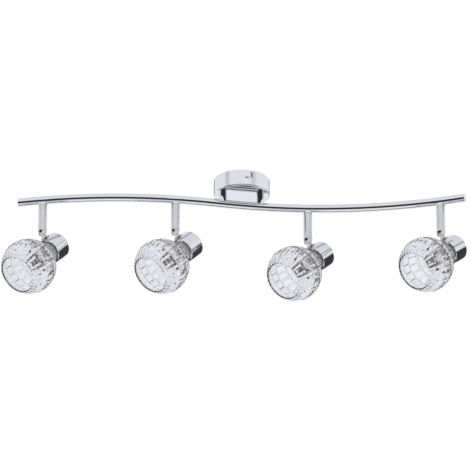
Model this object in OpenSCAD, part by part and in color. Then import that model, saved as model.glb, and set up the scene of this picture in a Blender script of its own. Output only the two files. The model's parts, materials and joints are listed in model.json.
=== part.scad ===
// Ceiling spot bar: a round canopy carries an S-shaped tube rail with four
// lamps. Each lamp swivels on its stem and tilts on a fork below the stem.
// Origin: centre of the ceiling face. X runs along the rail, Z points up.
// All sizes are in millimetres and all angles in degrees.

/* [Canopy] */
// Outer diameter of the canopy
canopy_d = 80; // [76:1:110]
// Height from the ceiling to the mirror face
canopy_h = 24; // [22:0.5:34]
// Sheet thickness of the canopy
canopy_wall = 1; // [0.8:0.1:1.4]
// Radius of the canopy's lower edge
canopy_edge_r = 2; // [1.6:0.1:4]
// Direction of the front side screw, counterclockwise from X
screw_dir = -78; // [-110:1:-50]
// Distance of the side screws below the ceiling
screw_drop = 9; // [8:0.5:12]
// Width of the bayonet slots in the rim
bayonet_w = 4.2; // [4.2:0.1:5]
// Turn of the canopy between entry and lock
bayonet_turn = 8; // [7:0.5:16]

/* [Bracket and terminals] */
// Sheet thickness of the ceiling bracket
bracket_t = 1.5; // [1:0.1:2]
// Width of the ceiling bracket along X
bracket_w = 40; // [36:1:44]
// Distance between the two ceiling slots
slot_pitch = 46; // [42:0.5:50]
// Width of the ceiling slots
slot_w = 4.5; // [3.5:0.1:5]
// Length of the ceiling slots over their round ends
slot_len = 11; // [8:0.5:12]
// Length of the terminal block along X
block_l = 24; // [22:1:26]
// Width of the terminal block
block_w = 15; // [14:1:16]
// Height of the terminal block
block_h = 12; // [10:1:14]

/* [Rail] */
// Outer diameter of the rail tube
rail_d = 12; // [11:0.5:16]
// Wall of the rail tube
rail_wall = 1; // [0.8:0.1:1.5]
// Reach of each rail end from the centre, along X
rail_reach = 320; // [310:5:420]
// Depth of the rail's centre line below the ceiling
rail_drop = 38.4; // [36:0.2:50]
// Bend radius of the half that bows to the front
rail_front_r = 570; // [450:10:900]
// Bend radius of the half that bows to the back
rail_back_r = 570; // [450:10:900]
// Place of the change between the two bends, along X
rail_turn_x = -34; // [-40:1:-32]
// Heading of the rail at that change
rail_turn_dir = 15; // [5:0.5:20]

/* [Posts] */
// Diameter of the two posts
post_d = 11; // [9.5:0.5:11]
// Distance between the posts along X
post_pitch = 53; // [48:1:56]
// Thread diameter of the hollow nipples
nipple_d = 8; // [7:0.5:8]
// Bore of the hollow nipples
nipple_bore = 5.5; // [4.5:0.1:5.5]

/* [Stems] */
// Distance between neighbouring stems along X
lamp_pitch = 190; // [185:1:205]
// Outer diameter of the stems
stem_d = 12; // [12:0.5:14]
// Wall of the stems
stem_wall = 1; // [0.8:0.1:1.2]
// Length of the stem tube
stem_l = 37.2; // [30:0.2:80]
// Diameter of the collar under the rail
seat_d = 12.4; // [12:0.1:14]
// Visible height of the collar under the rail
seat_h = 2.4; // [2:0.1:4]
// Diameter of the journal that the stem turns on
journal_d = 6.5; // [6:0.1:7]

/* [Knuckles] */
// Diameter of the collar at the stem's lower end
fork_collar_d = 12.6; // [12.4:0.1:13]
// Height of that collar
fork_collar_h = 2.4; // [2:0.1:4]
// Distance from that collar down to the hinge line
hinge_drop = 3.4; // [3.4:0.1:5]
// Width of the lugs across the hinge line
lug_w = 6.4; // [6:0.1:7]
// Thickness of each lug
lug_t = 2.4; // [2.2:0.1:2.6]
// Thickness of the tongue between the lugs
tongue_t = 5.6; // [5.4:0.1:5.8]
// Diameter of the hinge screws
hinge_d = 2.5; // [2.2:0.1:2.6]
// Distance from the hinge line to the cup's surface
tongue_reach = 8; // [8:0.1:12]
// Diameter of the flange on the cup
flange_d = 13.5; // [12:0.1:15]

/* [Lamp cups] */
// Outer diameter of the cup
cup_d = 38; // [38:0.5:44]
// Length of the cup behind the tongue's line
cup_rear = 17; // [16:0.5:26]
// Length of the cup in front of the tongue's line
cup_front = 9; // [7.5:0.5:12]
// Sheet thickness of the cup
cup_wall = 1; // [0.8:0.1:1.2]
// Radius of the cup's rear edge
cup_edge_r = 2.5; // [1.6:0.1:5]

/* [Glass shades] */
// Outer diameter of the glass ball
glass_d = 80; // [70:1:90]
// Glass thickness of the ball
glass_wall = 3.5; // [2.5:0.1:4]
// Outer diameter of the neck that enters the cup
neck_d = 34; // [33:0.5:35]
// Distance from the tongue's line to the ball's centre
glass_ahead = 57.5; // [52:0.5:64]
// Distance from the ball's centre to the open front
mouth_ahead = 26; // [20:0.5:32]

/* [Aiming] */
// Compass direction of lamp 1, counterclockwise from X
aim_1 = 221; // [180:1:260]
// Compass direction of lamp 2
aim_2 = 216; // [180:1:260]
// Compass direction of lamp 3
aim_3 = 220; // [180:1:260]
// Compass direction of lamp 4
aim_4 = 219; // [180:1:260]
// Angle of lamp 1 from straight down
pitch_1 = 47.5; // [0:0.5:90]
// Angle of lamp 2 from straight down
pitch_2 = 47; // [0:0.5:90]
// Angle of lamp 3 from straight down
pitch_3 = 50; // [0:0.5:90]
// Angle of lamp 4 from straight down
pitch_4 = 53.5; // [0:0.5:90]

/* [Fits] */
// Gap between a screw and its threaded or drilled hole
screw_gap = 0.05; // [0.02:0.01:0.1]
// Running gap in the swivel and hinge bearings
run_gap = 0.08; // [0.05:0.01:0.1]
// Free gap between faces that turn past each other
side_gap = 0.3; // [0.3:0.05:0.5]

/* [Hidden] */
$fn = 64;
cut = 1;    // overshoot of every cutting body

chrome = [0.80, 0.81, 0.83];
nickel = [0.70, 0.66, 0.58];
zinc = [0.62, 0.64, 0.66];
brass = [0.80, 0.66, 0.36];
clear_glass = [0.90, 0.94, 0.95, 0.5];

// ---- rail ----
rail_r = rail_d / 2;
rail_in_r = rail_r - rail_wall;
rail_z = -rail_drop;
saddle_gap = 0.05;
cap_t = 1.2;
cap_plug_l = 6;
tube_reach = rail_reach - cap_t;
rail_turn_y = rail_back_r * cos(rail_turn_dir)
  - sqrt(pow(rail_back_r, 2) - pow(rail_turn_x + rail_back_r * sin(rail_turn_dir), 2));
turn_normal = [-sin(rail_turn_dir), cos(rail_turn_dir)];
turn_point = [rail_turn_x, rail_turn_y];
front_c = turn_point + rail_front_r * turn_normal;
back_c = turn_point - rail_back_r * turn_normal;

// Y of the rail's centre line at x
function rail_y(x) = x < rail_turn_x
  ? front_c[1] - sqrt(pow(rail_front_r, 2) - pow(x - front_c[0], 2))
  : back_c[1] + sqrt(pow(rail_back_r, 2) - pow(x - back_c[0], 2));
// heading of the rail's centre line at x
function rail_dir(x) = x < rail_turn_x
  ? asin((x - front_c[0]) / rail_front_r)
  : -asin((x - back_c[0]) / rail_back_r);
function rail_at(x) = [x, rail_y(x), rail_z];

// ---- canopy and bracket ----
post_x = post_pitch / 2;
post_far = max([for (x = [-post_x, post_x]) norm([x, rail_y(x)])]);
washer_d = 13;
// the canopy is never smaller than the posts' washers need
canopy_r = max(canopy_d / 2, post_far + washer_d / 2 + side_gap + canopy_edge_r);
canopy_in_r = canopy_r - canopy_wall;
floor_z = -canopy_h + canopy_wall;      // inner face of the canopy's floor
side_screw_d = 4;
side_screw_head_d = 6.4;
side_screw_head_h = 2;
tab_w = 12;
tab_r = canopy_in_r - 0.7;              // outer face of the bent tabs
tab_below = 3.6;                        // tab length below the side screw
bracket_r = canopy_in_r - 3;            // round ends of the bracket
side_screw_in = 3;                      // thread past the tab

// ---- terminal block ----
pole_pitch = 8;
pole_row = block_w / 2 - 3.6;           // clamp screws off the block's middle
wire_hole_d = 3.2;
clamp_d = 3.4;
clamp_l = 4.8;
clamp_sunk = 0.6;
block_screw_d = 3;
block_screw_x = pole_pitch / 2;
block_screw_head_d = 5.4;
block_screw_head_h = 1.8;
earth_d = 3.5;
earth_head_d = 6;
earth_head_h = 2;
earth_at = [-13, -18];

// ---- posts ----
nipple_top = floor_z + 6.6;
nipple_in_rail = 1.2;
washer_t = 0.8;
nut_t = 4;
nut_af = 12;

// ---- leads inside the rail ----
bundle_r = 1.4;
lead_r = 1.1;

// ---- swivel and stem ----
function lamp_x(i) = (i - 2.5) * lamp_pitch;
seat_bottom = rail_z - rail_r - seat_h;
seat_groove = 0.8;
seat_thread_in = 2.5;
journal_bore = 4;
bush_t = 2.5;
swivel_nut_d = 9;
swivel_nut_t = 3;
stem_r = stem_d / 2;
stem_in_r = stem_r - stem_wall;
stem_top = seat_bottom - side_gap;
stem_bottom = stem_top - stem_l;
swivel_nut_top = stem_top - bush_t - side_gap;
journal_end = swivel_nut_top - swivel_nut_t - 0.5;

// ---- knuckle ----
plug_l = 9;
plug_gap = 0.02;
lead_hole_d = 4;
lug_gap = tongue_t / 2 + side_gap;
lug_outer = lug_gap + lug_t;
eye_gap = 0.4;
eye_r = hinge_drop - eye_gap;
hinge_screw_head_d = 4.2;
hinge_screw_head_h = 1.1;
hinge_tip = 1.9;                        // screw tip from the lamp's middle plane
lead_bore_d = 3.2;
neck_w = 5.2;
flange_t = 1.3;
stub_d = 8;
pivot_z = stem_bottom - fork_collar_h - hinge_drop;
aims = [aim_1, aim_2, aim_3, aim_4];
pitches = [pitch_1, pitch_2, pitch_3, pitch_4];

// ---- head: X along the lamp's axis, which lies at z = -axis_drop ----
cup_r = cup_d / 2;
cup_in_r = cup_r - cup_wall;
axis_drop = cup_r + tongue_reach;
bridge_t = 1;
bridge_x = -cup_rear + cup_wall + 7;    // rear face of the bridge plate
leg_w = 12;
leg_r = sqrt(pow(cup_in_r, 2) - pow(leg_w / 2, 2)) - 0.05;   // outer face of the bridge's leg
leg_front = 5.5;
plate_w = 14;
plate_l = 26;
clip_l = 6;
stub_nut_t = 2.5;
stub_nut_af = 10;
stub_nut_r = leg_r - bridge_t;          // outer face of the nut
stub_end_r = stub_nut_r - stub_nut_t - 0.4;

// ---- lampholder, ring and glass ----
holder_d = 24;
sleeve_d = 20;
holder_x = bridge_x + bridge_t;
shoulder_x = 6;                         // the glass seats here
sleeve_x = 13.5;
glass_floor = 3;
ring_d = 27;
ring_t = 3.5;
thread_gap = 0.15;
recess_w = 15;
recess_h = 6;
recess_depth = 6;
pin_pitch = 9;
pin_hole_d = 2.6;
pin_hole_depth = 9;
glass_r = glass_d / 2;
neck_r = neck_d / 2;
neck_wall = 3;

// ---- capsule lamp ----
bulb_d = 13.5;
bulb_wall = 1;
bulb_x = 17;                            // rear end of the round envelope
bulb_l = 34;
base_w = 14;
base_h = 5;
base_x = 8;
pin_d = 1.6;
pin_l = 7;

// ==== shared shapes ====

// half section of a closed cup: rim at y = 0, outer floor at y = -h
module cup_section(r, h, edge, over = 0) {
  translate([0, -h]) square([r - edge, h + over]);
  translate([0, edge - h]) square([r, h - edge + over]);
  translate([r - edge, edge - h]) circle(edge);
}

// a closed sheet cup with its rim at z = 0 and its floor at z = -h
module sheet_cup(r, h, edge, wall) {
  difference() {
    rotate_extrude() cup_section(r, h, edge);
    rotate_extrude() cup_section(r - wall, h - wall, edge - wall / 2, cut);
  }
}

// places children at both side screws: X outwards
module at_side_screws() {
  for (turn = [0, 180]) rotate([0, 0, screw_dir + turn]) translate([0, 0, -screw_drop]) children();
}

// places children on the rail's centre line under or over a post or stem
module on_rail(x) {
  translate(rail_at(x)) rotate([0, 0, rail_dir(x)]) children();
}

// one bend as a rod of radius r: starts at the origin along X, curves to +Y
module bend(r, bend_r, sweep) {
  translate([0, bend_r, 0]) rotate([0, 0, -90])
    rotate_extrude(angle = sweep, $fn = 900) translate([bend_r, 0]) circle(r, $fn = 64);
}

// the rail's course from x1 to x2 as a rod of radius r
module rail_rod(r, x1, x2) {
  translate([rail_turn_x, rail_turn_y, rail_z]) rotate([0, 0, rail_turn_dir]) {
    mirror([1, 0, 0]) bend(r, rail_front_r, rail_turn_dir - rail_dir(x1));
    mirror([0, 1, 0]) bend(r, rail_back_r, rail_turn_dir - rail_dir(x2));
  }
}

// one lead through all given points, with a round elbow at each turn
module lead(points, r) {
  for (k = [0 : len(points) - 2]) {
    run = points[k + 1] - points[k];
    translate(points[k]) {
      if (k > 0) sphere(r + 0.5, $fn = 24);
      rotate([0, 0, atan2(run[1], run[0])])
        rotate([0, atan2(norm([run[0], run[1]]), run[2]), 0]) cylinder(r = r, h = norm(run), $fn = 24);
    }
  }
}

// frame of stem i: origin on the hinge line, X towards the lamp's heading
module at_stem(i) {
  translate([lamp_x(i), rail_y(lamp_x(i)), pivot_z]) rotate([0, 0, aims[i - 1]]) children();
}

// frame of head i: origin on the hinge line, X along the lamp's axis
module at_head(i) {
  at_stem(i) rotate([0, 90 - pitches[i - 1], 0]) children();
}

// turns a body of revolution about Z onto the lamp's axis
module on_axis() {
  translate([0, 0, -axis_drop]) rotate([0, 90, 0]) children();
}

// ==== canopy group ====

module ceiling_canopy() {
  color(chrome) difference() {
    sheet_cup(canopy_r, canopy_h, canopy_edge_r, canopy_wall);
    for (x = [-post_x, post_x])
      translate([x, rail_y(x), -canopy_h - cut]) cylinder(d = nipple_d + 2 * screw_gap, h = canopy_wall + 2 * cut);
    at_side_screws() {
      rotate([0, 90, 0]) cylinder(d = bayonet_w, h = canopy_r + cut);
      rotate([0, 0, bayonet_turn]) translate([canopy_r - 5, -bayonet_w / 2, -bayonet_w / 2])
        cube([8, bayonet_w, screw_drop + bayonet_w / 2 + cut]);
      rotate_extrude(angle = bayonet_turn) translate([canopy_r - 5, -bayonet_w / 2]) square([8, bayonet_w]);
    }
  }
}

module mounting_bracket() {
  color(zinc) difference() {
    union() {
      translate([0, 0, -bracket_t]) intersection() {
        cylinder(r = bracket_r, h = bracket_t);
        translate([-bracket_w / 2, -bracket_r, -cut]) cube([bracket_w, 2 * bracket_r, bracket_t + 2 * cut]);
      }
      rotate([0, 0, screw_dir]) for (side = [-1, 1]) {
        translate([side * tab_r / 2, 0, -bracket_t / 2]) cube([tab_r, tab_w, bracket_t], center = true);
        translate([side * (tab_r - bracket_t / 2), 0, -(screw_drop + tab_below) / 2])
          cube([bracket_t, tab_w, screw_drop + tab_below], center = true);
      }
    }
    at_side_screws() translate([tab_r - bracket_t - cut, 0, 0]) rotate([0, 90, 0])
      cylinder(d = side_screw_d + 2 * screw_gap, h = bracket_t + 2 * cut);
    translate([0, 0, -bracket_t - cut]) {
      for (side = [-1, 1]) translate([0, side * slot_pitch / 2, 0]) {
        for (end = [-1, 1]) translate([0, end * (slot_len - slot_w) / 2, 0])
          cylinder(d = slot_w, h = bracket_t + 2 * cut);
        translate([-slot_w / 2, -(slot_len - slot_w) / 2, 0])
          cube([slot_w, slot_len - slot_w, bracket_t + 2 * cut]);
      }
      translate(earth_at) cylinder(d = earth_d + 2 * screw_gap, h = bracket_t + 2 * cut);
      translate([block_screw_x, 0, 0]) cylinder(d = block_screw_d + 2 * screw_gap, h = bracket_t + 2 * cut);
    }
  }
}

// a screw with a slotted flat head: thread from z = 0 down, head from z = 0 up
module slotted_screw(d, l, head_d, head_h) {
  translate([0, 0, -l]) cylinder(d = d, h = l);
  difference() {
    cylinder(d = head_d, h = head_h);
    translate([-head_d, -head_d / 14, head_h * 0.5]) cube([2 * head_d, head_d / 7, head_h]);
  }
}

module canopy_screws() {
  color(chrome) at_side_screws() translate([canopy_r, 0, 0]) rotate([0, 90, 0])
    slotted_screw(side_screw_d, canopy_r - tab_r + bracket_t + side_screw_in, side_screw_head_d, side_screw_head_h);
}

module terminal_block() {
  color("ivory") translate([0, 0, -bracket_t - block_h]) difference() {
    translate([-block_l / 2, -block_w / 2, 0]) cube([block_l, block_w, block_h]);
    for (pole = [-1, 0, 1]) translate([pole * pole_pitch, 0, 0]) {
      translate([0, block_w / 2 + cut, block_h / 2]) rotate([90, 0, 0])
        cylinder(d = wire_hole_d, h = block_w + 2 * cut);
      for (side = [-1, 1]) translate([0, side * pole_row, -cut])
        cylinder(d = clamp_d + 2 * screw_gap, h = block_h / 2 + cut);
    }
    translate([block_screw_x, 0, -cut]) cylinder(d = block_screw_d + 2 * screw_gap, h = block_h + 2 * cut);
    for (gap = [-1, 1]) for (side = [-1, 1])
      translate([gap * pole_pitch / 2 - 0.6, side * (block_w / 2 - 0.6) - 1, -cut]) cube([1.2, 2, block_h + 2 * cut]);
  }
}

module terminal_screws() {
  color(brass) translate([0, 0, -bracket_t - block_h + clamp_sunk])
    for (pole = [-1, 0, 1]) for (side = [-1, 1])
      translate([pole * pole_pitch, side * pole_row, 0]) difference() {
        cylinder(d = clamp_d, h = clamp_l - clamp_sunk);
        translate([-clamp_d, -0.4, -cut]) cube([2 * clamp_d, 0.8, cut + 0.8]);
      }
}

module block_screw() {
  color(zinc) translate([block_screw_x, 0, -bracket_t - block_h]) rotate([180, 0, 0])
    slotted_screw(block_screw_d, block_h + bracket_t - 0.3, block_screw_head_d, block_screw_head_h);
}

module earth_screw() {
  color(brass) translate([earth_at[0], earth_at[1], -bracket_t]) rotate([180, 0, 0])
    slotted_screw(earth_d, bracket_t - 0.2, earth_head_d, earth_head_h);
}

// ==== posts between canopy and rail ====

module canopy_posts() {
  color(chrome) for (x = [-post_x, post_x]) on_rail(x) difference() {
    cylinder(d = post_d, h = rail_drop - canopy_h);
    translate([0, 0, -cut]) cylinder(d = nipple_d + 2 * screw_gap, h = rail_drop);
    rotate([0, 90, 0]) cylinder(r = rail_r + saddle_gap, h = 4 * post_d, center = true);
  }
}

module post_nipples() {
  nipple_low = rail_in_r - nipple_in_rail;
  color(brass) for (x = [-post_x, post_x]) on_rail(x) difference() {
    translate([0, 0, nipple_low]) cylinder(d = nipple_d, h = nipple_top - rail_z - nipple_low);
    translate([0, 0, nipple_low - cut]) cylinder(d = nipple_bore, h = rail_drop);
  }
}

module post_washers() {
  color(zinc) for (x = [-post_x, post_x]) translate([x, rail_y(x), floor_z]) difference() {
    cylinder(d = washer_d, h = washer_t);
    translate([0, 0, -cut]) cylinder(d = nipple_d + 2 * screw_gap, h = washer_t + 2 * cut);
    for (tooth = [0 : 45 : 315]) rotate([0, 0, tooth]) translate([washer_d / 2, 0, -cut])
      cylinder(d = 1.6, h = washer_t + 2 * cut);
  }
}

module post_nuts() {
  color(brass) for (x = [-post_x, post_x]) translate([x, rail_y(x), floor_z + washer_t]) difference() {
    cylinder(d = nut_af / cos(30), h = nut_t, $fn = 6);
    translate([0, 0, -cut]) cylinder(d = nipple_d + 2 * screw_gap, h = nut_t + 2 * cut);
  }
}

// ==== rail ====

module rail_tube() {
  color(chrome) difference() {
    rail_rod(rail_r, -tube_reach, tube_reach);
    rail_rod(rail_in_r, -tube_reach - cut, tube_reach + cut);
    for (x = [-post_x, post_x]) on_rail(x) cylinder(d = nipple_d + 2 * screw_gap, h = rail_d);
    for (i = [1 : 4]) on_rail(lamp_x(i)) translate([0, 0, -rail_d])
      cylinder(d = journal_d + 2 * screw_gap, h = rail_d);
  }
}

module rail_end_caps() {
  color(chrome) for (side = [-1, 1]) on_rail(side * tube_reach) rotate([0, side * 90, 0]) {
    cylinder(r = rail_r, h = cap_t);
    translate([0, 0, -cap_plug_l]) cylinder(r = rail_in_r - plug_gap, h = cap_plug_l);
  }
}

module rail_leads() {
  clamp_z = -bracket_t - block_h / 2;
  color("white") {
    rail_rod(bundle_r, lamp_x(1) + 4, lamp_x(4) - 4);
    for (side = [-1, 1]) {
      foot = rail_at(side * post_x);
      head = [foot[0], foot[1], nipple_top + 2];
      near = [side * pole_pitch, side * (block_w / 2 + 5), clamp_z];
      clamp = [near[0], side * (block_w / 2 - 3), clamp_z];
      lead([foot, head, near, clamp], lead_r);
    }
  }
}

// ==== swivels ====

module swivel_seats() {
  journal_low = journal_end - rail_z;
  color(chrome) for (i = [1 : 4]) on_rail(lamp_x(i)) difference() {
    union() {
      difference() {
        translate([0, 0, seat_bottom - rail_z]) cylinder(d = seat_d, h = seat_h + seat_groove);
        rotate([0, 90, 0]) cylinder(r = rail_r + saddle_gap, h = 2 * seat_d, center = true);
      }
      translate([0, 0, journal_low]) cylinder(d = journal_d, h = seat_thread_in - rail_in_r - journal_low);
    }
    translate([0, 0, journal_low - cut]) cylinder(d = journal_bore, h = rail_d - journal_low);
  }
}

module swivel_nuts() {
  color(brass) for (i = [1 : 4]) on_rail(lamp_x(i)) translate([0, 0, swivel_nut_top - swivel_nut_t - rail_z])
    difference() {
      cylinder(d = swivel_nut_d, h = swivel_nut_t);
      translate([0, 0, -cut]) cylinder(d = journal_d + 2 * screw_gap, h = swivel_nut_t + 2 * cut);
      for (turn = [0, 180]) rotate([0, 0, turn]) translate([swivel_nut_d / 2 - 0.8, -0.7, -cut])
        cube([2, 1.4, cut + 1.2]);
    }
}

// ==== stem and knuckle, one set for each lamp i ====

module stem(i) {
  color(chrome) translate([lamp_x(i), rail_y(lamp_x(i)), stem_bottom]) difference() {
    cylinder(r = stem_r, h = stem_l);
    translate([0, 0, -cut]) cylinder(r = stem_in_r, h = stem_l - bush_t + cut);
    cylinder(d = journal_d + 2 * run_gap, h = stem_l + cut);
  }
}

module knuckle_fork(i) {
  collar_z = hinge_drop;
  color(chrome) at_stem(i) difference() {
    union() {
      translate([0, 0, collar_z]) cylinder(d = fork_collar_d, h = fork_collar_h);
      translate([0, 0, collar_z + fork_collar_h]) cylinder(r = stem_in_r - plug_gap, h = plug_l);
      for (side = [-1, 1]) {
        translate([-lug_w / 2, side > 0 ? lug_gap : -lug_outer, 0]) cube([lug_w, lug_t, collar_z]);
        translate([0, side > 0 ? lug_outer : -lug_gap, 0]) rotate([90, 0, 0]) cylinder(d = lug_w, h = lug_t);
      }
    }
    translate([0, 0, collar_z - cut]) cylinder(d = lead_hole_d, h = fork_collar_h + plug_l + 2 * cut);
    rotate([90, 0, 0]) cylinder(d = hinge_d + 2 * screw_gap, h = 4 * lug_outer, center = true);
    for (side = [-1, 1]) rotate([-90 * side, 0, 0]) translate([0, 0, lug_outer - hinge_screw_head_h - 0.1])
      cylinder(d = hinge_screw_head_d + 2 * screw_gap, h = 4);
  }
}

module hinge_screws(i) {
  color(zinc) at_stem(i) for (side = [-1, 1]) rotate([-90 * side, 0, 0])
    translate([0, 0, lug_outer - hinge_screw_head_h - 0.1])
      slotted_screw(hinge_d, lug_outer - hinge_screw_head_h - 0.1 - hinge_tip,
        hinge_screw_head_d, hinge_screw_head_h);
}

module knuckle_tongue(i) {
  flange_z = -tongue_reach + flange_t;
  color(nickel) at_head(i) difference() {
    union() {
      rotate([90, 0, 0]) cylinder(r = eye_r, h = tongue_t, center = true);
      translate([-neck_w / 2, -tongue_t / 2, flange_z]) cube([neck_w, tongue_t, -flange_z]);
      difference() {
        translate([0, 0, flange_z - 4]) cylinder(d = flange_d, h = 4);
        on_axis() cylinder(r = cup_r, h = 2 * flange_d, center = true);
      }
      translate([0, 0, -axis_drop + stub_end_r]) cylinder(d = stub_d, h = axis_drop - stub_end_r + flange_z - 0.2);
    }
    for (side = [-1, 1]) rotate([-90 * side, 0, 0]) translate([0, 0, hinge_tip - 0.2])
      cylinder(d = hinge_d + 2 * run_gap, h = 4);
    translate([0, 0, -axis_drop]) cylinder(d = lead_bore_d, h = axis_drop + 2 * eye_r);
  }
}

module tongue_nut(i) {
  color(zinc) at_head(i) translate([0, 0, -axis_drop + stub_nut_r - stub_nut_t]) difference() {
    cylinder(d = stub_nut_af / cos(30), h = stub_nut_t, $fn = 6);
    translate([0, 0, -cut]) cylinder(d = stub_d + 2 * screw_gap, h = stub_nut_t + 2 * cut);
  }
}

// ==== lamp head ====

module lamp_cup(i) {
  color(chrome) at_head(i) difference() {
    on_axis() translate([0, 0, cup_front]) sheet_cup(cup_r, cup_front + cup_rear, cup_edge_r, cup_wall);
    translate([0, 0, -axis_drop]) cylinder(d = stub_d + 2 * screw_gap, h = axis_drop);
  }
}

module holder_bridge(i) {
  clip_y = holder_d / 2 + 0.1;
  color(zinc) at_head(i) translate([0, 0, -axis_drop]) difference() {
    union() {
      translate([bridge_x, -plate_w / 2, -plate_l / 2]) cube([bridge_t, plate_w, plate_l]);
      translate([bridge_x, -clip_y - bridge_t, -leg_w / 2]) cube([bridge_t, 2 * (clip_y + bridge_t), leg_w]);
      translate([bridge_x, -leg_w / 2, 0]) cube([bridge_t, leg_w, leg_r]);
      translate([bridge_x, -leg_w / 2, leg_r - bridge_t]) cube([leg_front - bridge_x, leg_w, bridge_t]);
      for (side = [-1, 1]) translate([bridge_x, side > 0 ? clip_y : -clip_y - bridge_t, -leg_w / 2])
        cube([clip_l, bridge_t, leg_w]);
    }
    translate([bridge_x - cut, 0, 0]) rotate([0, 90, 0]) cylinder(d = 11, h = bridge_t + 2 * cut);
    cylinder(d = stub_d + 2 * screw_gap, h = cup_r);
  }
}

module lampholder(i) {
  color("whitesmoke") at_head(i) difference() {
    on_axis() {
      translate([0, 0, holder_x]) cylinder(d = holder_d, h = shoulder_x - holder_x);
      translate([0, 0, shoulder_x]) cylinder(d = sleeve_d, h = sleeve_x - shoulder_x);
    }
    translate([sleeve_x - recess_depth, -recess_w / 2, -axis_drop - recess_h / 2])
      cube([recess_depth + cut, recess_w, recess_h]);
    for (side = [-1, 1]) translate([0, side * pin_pitch / 2, -axis_drop]) rotate([0, 90, 0]) {
      translate([0, 0, sleeve_x - recess_depth - pin_hole_depth]) cylinder(d = pin_hole_d, h = pin_hole_depth + cut);
      translate([0, 0, holder_x - cut]) cylinder(d = 2, h = sleeve_x - recess_depth - holder_x);
    }
  }
}

module shade_ring(i) {
  color("whitesmoke") at_head(i) on_axis() translate([0, 0, shoulder_x + glass_floor]) difference() {
    cylinder(d = ring_d, h = ring_t);
    translate([0, 0, -cut]) cylinder(d = sleeve_d + 2 * thread_gap, h = ring_t + 2 * cut);
    for (turn = [0 : 60 : 300]) rotate([0, 0, turn]) translate([ring_d / 2 - 1, -1, 1])
      cube([3, 2, ring_t]);
  }
}

module glass_shade(i) {
  color(clear_glass) at_head(i) on_axis() difference() {
    union() {
      translate([0, 0, glass_ahead]) sphere(glass_r, $fn = 96);
      translate([0, 0, shoulder_x]) cylinder(r = neck_r, h = glass_ahead - glass_r);
    }
    translate([0, 0, glass_ahead]) sphere(glass_r - glass_wall, $fn = 96);
    translate([0, 0, shoulder_x + glass_floor]) cylinder(r = neck_r - neck_wall, h = glass_ahead - glass_r);
    translate([0, 0, shoulder_x - cut]) cylinder(d = sleeve_d + 0.8, h = glass_floor + 2 * cut);
    translate([0, 0, glass_ahead + mouth_ahead]) cylinder(r = glass_r, h = glass_r);
  }
}

module lamp_capsule(i) {
  bulb_r = bulb_d / 2;
  bulb_in_r = bulb_r - bulb_wall;
  color([0.93, 0.90, 0.80]) at_head(i) {
    difference() {
      union() {
        on_axis() {
          translate([0, 0, bulb_x]) cylinder(r = bulb_r, h = bulb_l - bulb_r);
          translate([0, 0, bulb_x + bulb_l - bulb_r]) sphere(bulb_r);
        }
        translate([base_x, -base_w / 2, -axis_drop - base_h / 2]) cube([bulb_x - base_x + 2, base_w, base_h]);
      }
      on_axis() {
        translate([0, 0, bulb_x + 3]) cylinder(r = bulb_in_r, h = bulb_l - bulb_r - 3);
        translate([0, 0, bulb_x + bulb_l - bulb_r]) sphere(bulb_in_r);
      }
    }
    for (side = [-1, 1]) translate([base_x - pin_l, side * pin_pitch / 2, -axis_drop]) rotate([0, 90, 0])
      cylinder(d = pin_d, h = pin_l + 1);
  }
}

// ==== one line for each node ====

ceiling_canopy();
mounting_bracket();
canopy_screws();
terminal_block();
terminal_screws();
block_screw();
earth_screw();
canopy_posts();
post_nipples();
post_washers();
post_nuts();
rail_tube();
rail_end_caps();
rail_leads();
swivel_seats();
swivel_nuts();
stem(1);  // stem_1
stem(2);  // stem_2
stem(3);  // stem_3
stem(4);  // stem_4
knuckle_fork(1);  // knuckle_fork_1
knuckle_fork(2);  // knuckle_fork_2
knuckle_fork(3);  // knuckle_fork_3
knuckle_fork(4);  // knuckle_fork_4
hinge_screws(1);  // hinge_screws_1
hinge_screws(2);  // hinge_screws_2
hinge_screws(3);  // hinge_screws_3
hinge_screws(4);  // hinge_screws_4
knuckle_tongue(1);  // knuckle_tongue_1
knuckle_tongue(2);  // knuckle_tongue_2
knuckle_tongue(3);  // knuckle_tongue_3
knuckle_tongue(4);  // knuckle_tongue_4
tongue_nut(1);  // tongue_nut_1
tongue_nut(2);  // tongue_nut_2
tongue_nut(3);  // tongue_nut_3
tongue_nut(4);  // tongue_nut_4
lamp_cup(1);  // lamp_cup_1
lamp_cup(2);  // lamp_cup_2
lamp_cup(3);  // lamp_cup_3
lamp_cup(4);  // lamp_cup_4
holder_bridge(1);  // holder_bridge_1
holder_bridge(2);  // holder_bridge_2
holder_bridge(3);  // holder_bridge_3
holder_bridge(4);  // holder_bridge_4
lampholder(1);  // lampholder_1
lampholder(2);  // lampholder_2
lampholder(3);  // lampholder_3
lampholder(4);  // lampholder_4
shade_ring(1);  // shade_ring_1
shade_ring(2);  // shade_ring_2
shade_ring(3);  // shade_ring_3
shade_ring(4);  // shade_ring_4
glass_shade(1);  // glass_shade_1
glass_shade(2);  // glass_shade_2
glass_shade(3);  // glass_shade_3
glass_shade(4);  // glass_shade_4
lamp_capsule(1);  // lamp_capsule_1
lamp_capsule(2);  // lamp_capsule_2
lamp_capsule(3);  // lamp_capsule_3
lamp_capsule(4);  // lamp_capsule_4
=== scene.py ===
"""Looks of the ceiling spot bar: polished chrome, pressed glass shades with cut
prisms, capsule lamps, and a plain studio around them. Sizes are in metres."""

import json
import math

import bmesh
import bpy
from mathutils import Matrix, Vector


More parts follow.
